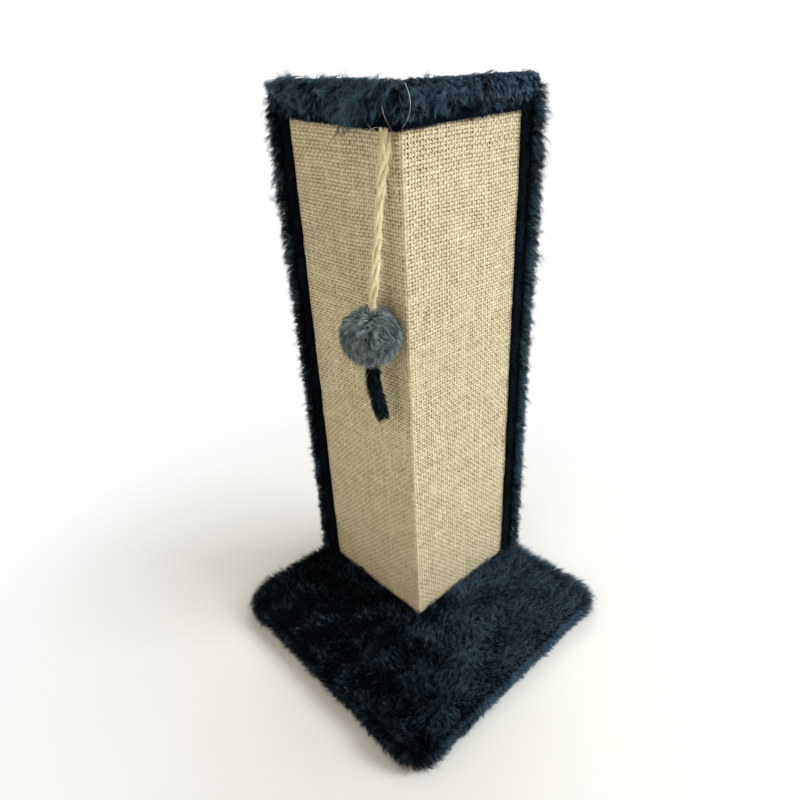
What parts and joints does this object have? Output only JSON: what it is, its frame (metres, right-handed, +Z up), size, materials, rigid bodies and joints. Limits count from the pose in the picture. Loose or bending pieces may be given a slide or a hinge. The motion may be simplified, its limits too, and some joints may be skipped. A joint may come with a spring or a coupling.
{
  "type": "corner cat scratcher",
  "caption": "Corner cat scratcher: two sisal-covered boards at a right angle on a square plush base, with plush borders and a fur ball hung on a rope.",
  "frame": {"origin": "on the floor, under the middle of the square base", "axes": "+Z up; the left wing runs along +Y and its sisal face looks along -X; the right wing runs along +X and its sisal face looks along -Y; the upright corner points at (-X, -Y)"},
  "size_m": [0.32, 0.32, 0.6],
  "materials": {
    "board": "raw fibreboard",
    "plush": "long-pile black plush",
    "hem": "folded plush hem, short pile",
    "sisal": "plain-weave sisal cloth",
    "steel": "zinc plated",
    "rope": "three-strand sisal rope",
    "ball_fur": "blue-grey faux fur",
    "filling": "polyester fibre"
  },
  "bodies": {
    "root": {"base_board": "board", "base_plush": "plush", "base_screws": "steel", "hem_staples": "steel", "left_board": "board", "right_board": "board", "corner_nails": "steel", "sisal_cloth": "sisal", "cloth_staples": "steel", "left_back_plush": "plush", "right_back_plush": "plush", "left_top_plush": "plush", "right_top_plush": "plush", "left_side_plush": "plush", "right_side_plush": "plush", "left_top_hem": "hem", "right_top_hem": "hem", "left_side_hem": "hem", "right_side_hem": "hem", "rope_anchor": "rope", "rope_staple": "steel"},
    "rope_top": {"toy_rope_top": "rope"},
    "rope": {"toy_rope": "rope"},
    "fur_ball": {"fur_ball_skin": "ball_fur", "fur_ball_filling": "filling", "rope_knot": "rope"},
    "tail": {"toy_tail": "plush"}
  },
  "joints": [
    {"name": "rope_sway", "type": "hinge", "parent": "root", "child": "rope_top", "pos_m": [-0.0268, -0.0095, 0.5577], "axis": [1, 0, 0], "range_deg": [-35, 30]},
    {"name": "rope_lift", "type": "hinge", "parent": "rope_top", "child": "rope", "pos_m": [-0.0276, -0.0089, 0.5415], "axis": [0, 1, 0], "range_deg": [0, 80]},
    {"name": "ball_swing", "type": "hinge", "parent": "rope", "child": "fur_ball", "pos_m": [-0.0464, -0.003, 0.4187], "axis": [0, 1, 0], "range_deg": [0, 40]},
    {"name": "tail_swing", "type": "hinge", "parent": "fur_ball", "child": "tail", "pos_m": [-0.0508, -0.0015, 0.3563], "axis": [1, 0, 0], "range_deg": [-35, 35]}
  ]
}
